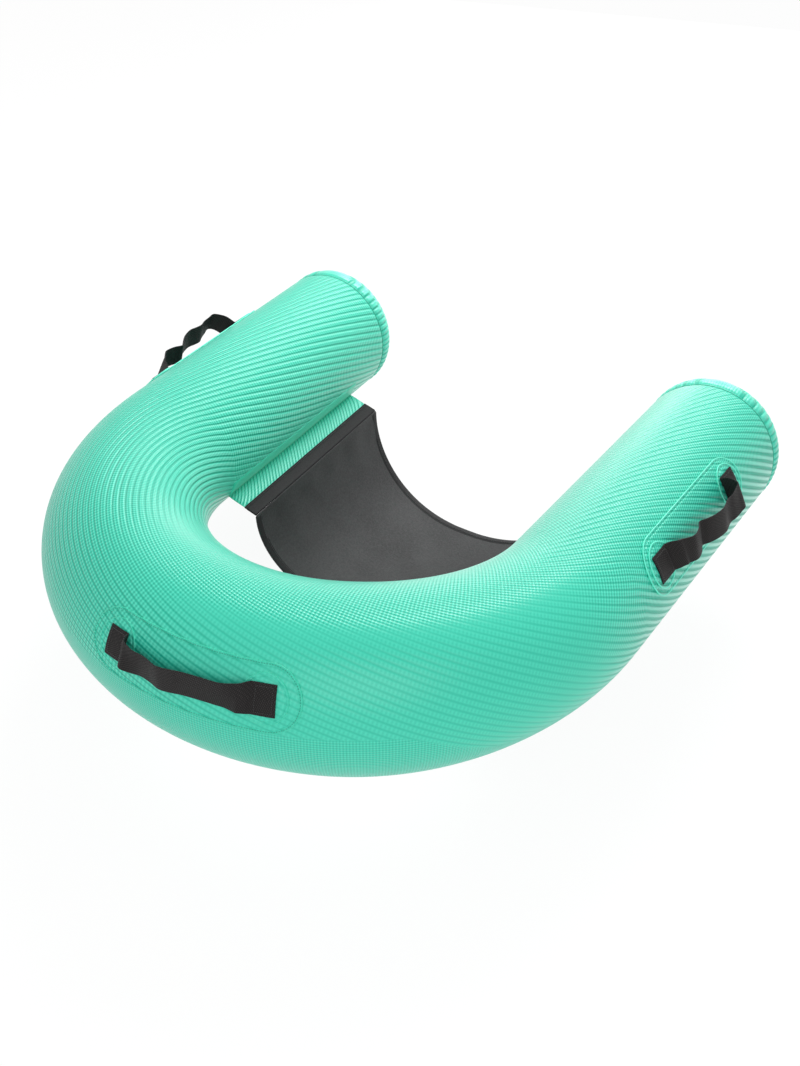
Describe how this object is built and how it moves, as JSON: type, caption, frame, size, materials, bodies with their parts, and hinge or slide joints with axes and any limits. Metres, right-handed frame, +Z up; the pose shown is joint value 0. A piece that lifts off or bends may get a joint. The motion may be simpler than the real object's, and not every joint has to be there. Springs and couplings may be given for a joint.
{
  "type": "pool lounger",
  "caption": "U-shaped air-filled pool lounger: ribbed fabric cover over a bladder, hanging sling seat between the arms, webbing carry handles outside.",
  "frame": {"origin": "middle of the lounger's plan box, at its lowest point, which is the underside of the sling's bindings", "axes": "+Z up as it floats, +Y towards the bend behind the person seated, +X towards that person's left arm; the legs leave through the open end at -Y"},
  "size_m": [1.0756, 1.0912, 0.4078],
  "materials": {
    "cover": "ribbed woven cover fabric, mint green, satin",
    "trim": "flat mint strip along the flaps, satin",
    "sling": "dark grey stretch sling fabric, matte",
    "binding": "dark grey binding tape, matte",
    "webbing": "black woven webbing, slight sheen",
    "bladder": "welded film, pale, semi-matte",
    "valve": "black moulded plastic, satin",
    "rubber": "black rubber, matte",
    "zip": "black moulded zip, satin"
  },
  "bodies": {
    "lounger": {"cover_tube": "cover", "end_cap_left": "cover", "end_cap_right": "cover", "air_bladder": "bladder", "zip_tape_lower": "zip", "zip_tape_upper": "zip", "zip_teeth_lower": "zip", "zip_teeth_upper": "zip", "zip_stop_left": "zip", "zip_stop_right": "zip", "valve_base": "valve", "valve_insert": "valve", "valve_flap": "rubber", "valve_tether": "valve", "flap_strip_left": "trim", "flap_left": "cover", "sling_hem_left": "sling", "flap_strip_right": "trim", "flap_right": "cover", "sling_hem_right": "sling", "sling_panel": "sling", "sling_binding_front": "binding", "sling_binding_rear": "binding", "handle_rear_patch": "cover", "handle_rear_pad_left": "cover", "handle_rear_pad_right": "cover", "handle_rear_tab_left": "webbing", "handle_rear_tab_right": "webbing", "handle_left_patch": "cover", "handle_left_pad_rear": "cover", "handle_left_pad_front": "cover", "handle_left_tab_rear": "webbing", "handle_left_tab_front": "webbing", "handle_right_patch": "cover", "handle_right_pad_rear": "cover", "handle_right_pad_front": "cover", "handle_right_tab_rear": "webbing", "handle_right_tab_front": "webbing"},
    "rear_handle": {"handle_rear_loop": "webbing"},
    "left_handle": {"handle_left_loop": "webbing"},
    "right_handle": {"handle_right_loop": "webbing"},
    "valve_lid": {"valve_cap": "valve"},
    "zip_runner": {"zip_slider": "zip"},
    "zip_tab": {"zip_pull": "zip"}
  },
  "joints": [
    {"name": "rear_handle_lean", "type": "hinge", "parent": "lounger", "child": "rear_handle", "pos_m": [-0.04781, 0.5275, 0.34209], "axis": [0.9923, 0.1235, 0.0061], "range_deg": [0, 40]},
    {"name": "left_handle_lean", "type": "hinge", "parent": "lounger", "child": "left_handle", "pos_m": [0.51457, -0.13951, 0.35335], "axis": [0.1568, -0.9864, 0.0484], "range_deg": [-40, 40]},
    {"name": "right_handle_lean", "type": "hinge", "parent": "lounger", "child": "right_handle", "pos_m": [-0.51457, -0.13951, 0.35335], "axis": [0.1568, 0.9864, -0.0484], "range_deg": [-40, 40]},
    {"name": "valve_cap_swing", "type": "hinge", "parent": "lounger", "child": "valve_lid", "pos_m": [0.40573, -0.53977, 0.29556], "axis": [-0.9989, -0.0462, 0], "range_deg": [0, 140]},
    {"name": "zip_slide", "type": "hinge", "parent": "lounger", "child": "zip_runner", "pos_m": [0, 0.02895, 0.27386], "axis": [0, 0, -1], "range_deg": [0, 57]},
    {"name": "zip_pull_swing", "type": "hinge", "parent": "zip_runner", "child": "zip_tab", "pos_m": [-0.14098, 0.28538, 0.16578], "axis": [-0.3678, 0.6693, -0.6456], "range_deg": [0, 150]}
  ]
}
